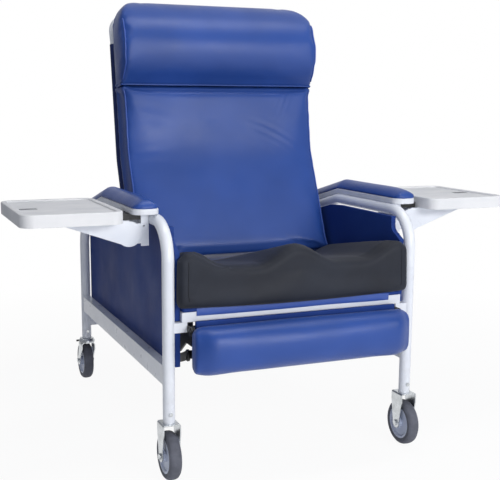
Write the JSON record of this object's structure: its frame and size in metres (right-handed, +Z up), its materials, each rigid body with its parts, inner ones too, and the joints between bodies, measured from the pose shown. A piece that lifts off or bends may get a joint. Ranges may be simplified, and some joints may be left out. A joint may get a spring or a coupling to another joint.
{
  "type": "patient recliner chair",
  "caption": "Wheeled patient recliner: tube frame, padded reclining back with head roll, contoured seat cushion, legrest that rises with the back, fold-down side trays and casters.",
  "frame": {"origin": "on the floor, at the centre of the bounding box's underside", "axes": "+X to the right seen from the front, +Y from the front to the back of the chair, +Z up"},
  "size_m": [1.41, 1.1116, 1.2677],
  "materials": {
    "white_enamel": "bluish white powder coat",
    "arm_base": "white moulded plastic",
    "navy_vinyl": "dark blue upholstery vinyl",
    "blue_vinyl": "royal blue upholstery vinyl",
    "charcoal_cover": "charcoal stretch cover",
    "plywood": "plain plywood",
    "black_steel": "satin black",
    "pedal": "black moulded pedal",
    "tray_plastic": "off-white moulded plastic",
    "zinc": "bright zinc plate",
    "tyre": "grey non-marking rubber",
    "hub": "grey moulded hub"
  },
  "bodies": {
    "frame": {"side_frame_left": "white_enamel", "side_frame_right": "white_enamel", "side_rail_left": "white_enamel", "side_rail_right": "white_enamel", "rear_cross_rail": "white_enamel", "side_panel_left": "navy_vinyl", "side_panel_right": "navy_vinyl", "arm_base_left": "arm_base", "arm_base_right": "arm_base", "arm_pad_left": "blue_vinyl", "arm_pad_right": "blue_vinyl", "tray_bracket_left": "white_enamel", "tray_bracket_right": "white_enamel", "tray_stops": "black_steel", "seat_frame": "white_enamel", "seat_end_blocks": "white_enamel", "seat_deck": "navy_vinyl", "seat_cushion": "charcoal_cover", "recliner_rail_left": "black_steel", "recliner_rail_right": "black_steel", "recliner_plate_left": "black_steel", "recliner_plate_right": "black_steel", "leg_stubs": "white_enamel", "legrest_hinges": "black_steel", "front_fork_left": "zinc", "front_fork_right": "zinc", "front_axles": "zinc", "caster_stems": "zinc", "leg_bolts": "zinc"},
    "back": {"back_frame": "white_enamel", "back_board": "plywood", "back_cushion": "blue_vinyl", "head_roll": "blue_vinyl", "back_cover": "navy_vinyl", "back_lever_left": "black_steel", "back_lever_right": "black_steel"},
    "legrest": {"legrest_board": "plywood", "legrest_pad": "blue_vinyl", "legrest_arm_left": "black_steel", "legrest_arm_right": "black_steel"},
    "drive_left": {"drive_link_left": "black_steel"},
    "side_tray_left": {"tray_left": "tray_plastic", "tray_arm_left": "white_enamel"},
    "caster_left": {"rear_fork_left": "zinc", "rear_axle_left": "zinc"},
    "pedal_left": {"brake_pedal_left": "pedal"},
    "drive_right": {"drive_link_right": "black_steel"},
    "side_tray_right": {"tray_right": "tray_plastic", "tray_arm_right": "white_enamel"},
    "caster_right": {"rear_fork_right": "zinc", "rear_axle_right": "zinc"},
    "pedal_right": {"brake_pedal_right": "pedal"},
    "wheel_front_left": {"tyre_front_left": "tyre", "hub_front_left": "hub"},
    "wheel_front_right": {"tyre_front_right": "tyre", "hub_front_right": "hub"},
    "wheel_rear_left": {"tyre_rear_left": "tyre", "hub_rear_left": "hub"},
    "wheel_rear_right": {"tyre_rear_right": "tyre", "hub_rear_right": "hub"}
  },
  "joints": [
    {"name": "back_recline", "type": "hinge", "parent": "frame", "child": "back", "pos_m": [0, 0.00525, 0.43], "axis": [-1, 0, 0], "range_deg": [0, 50]},
    {"name": "legrest_lift", "type": "hinge", "parent": "frame", "child": "legrest", "pos_m": [0, -0.49275, 0.395], "axis": [-1, 0, 0], "range_deg": [0, 75]},
    {"name": "drive_link_turn_left", "type": "hinge", "parent": "back", "child": "drive_left", "pos_m": [-0.2919, 0.06308, 0.30598], "axis": [1, 0, 0], "range_deg": [0, 50]},
    {"name": "tray_fold_left", "type": "hinge", "parent": "frame", "child": "side_tray_left", "pos_m": [-0.421, -0.30575, 0.63], "axis": [0, -1, 0], "range_deg": [0, 90]},
    {"name": "caster_swivel_left", "type": "hinge", "parent": "frame", "child": "caster_left", "pos_m": [-0.352, 0.46425, 0.146], "axis": [0, 0, 1], "continuous": true},
    {"name": "brake_press_left", "type": "hinge", "parent": "caster_left", "child": "pedal_left", "pos_m": [-0.352, 0.49125, 0.137], "axis": [-1, 0, 0], "range_deg": [0, 6]},
    {"name": "drive_link_turn_right", "type": "hinge", "parent": "back", "child": "drive_right", "pos_m": [0.2919, 0.06308, 0.30598], "axis": [1, 0, 0], "range_deg": [0, 50]},
    {"name": "tray_fold_right", "type": "hinge", "parent": "frame", "child": "side_tray_right", "pos_m": [0.421, -0.30575, 0.63], "axis": [0, 1, 0], "range_deg": [0, 90]},
    {"name": "caster_swivel_right", "type": "hinge", "parent": "frame", "child": "caster_right", "pos_m": [0.352, 0.46425, 0.146], "axis": [0, 0, 1], "continuous": true},
    {"name": "brake_press_right", "type": "hinge", "parent": "caster_right", "child": "pedal_right", "pos_m": [0.352, 0.49125, 0.137], "axis": [-1, 0, 0], "range_deg": [0, 6]},
    {"name": "spin_front_left", "type": "hinge", "parent": "frame", "child": "wheel_front_left", "pos_m": [-0.352, -0.45875, 0.0635], "axis": [1, 0, 0], "continuous": true},
    {"name": "spin_front_right", "type": "hinge", "parent": "frame", "child": "wheel_front_right", "pos_m": [0.352, -0.45875, 0.0635], "axis": [1, 0, 0], "continuous": true},
    {"name": "spin_rear_left", "type": "hinge", "parent": "caster_left", "child": "wheel_rear_left", "pos_m": [-0.352, 0.49225, 0.0635], "axis": [1, 0, 0], "continuous": true},
    {"name": "spin_rear_right", "type": "hinge", "parent": "caster_right", "child": "wheel_rear_right", "pos_m": [0.352, 0.49225, 0.0635], "axis": [1, 0, 0], "continuous": true}
  ],
  "couplings": [
    {"joint": "legrest_lift", "follows": "back_recline", "ratio": 1.5},
    {"joint": "drive_link_turn_left", "follows": "back_recline", "ratio": 1},
    {"joint": "drive_link_turn_right", "follows": "back_recline", "ratio": 1}
  ]
}
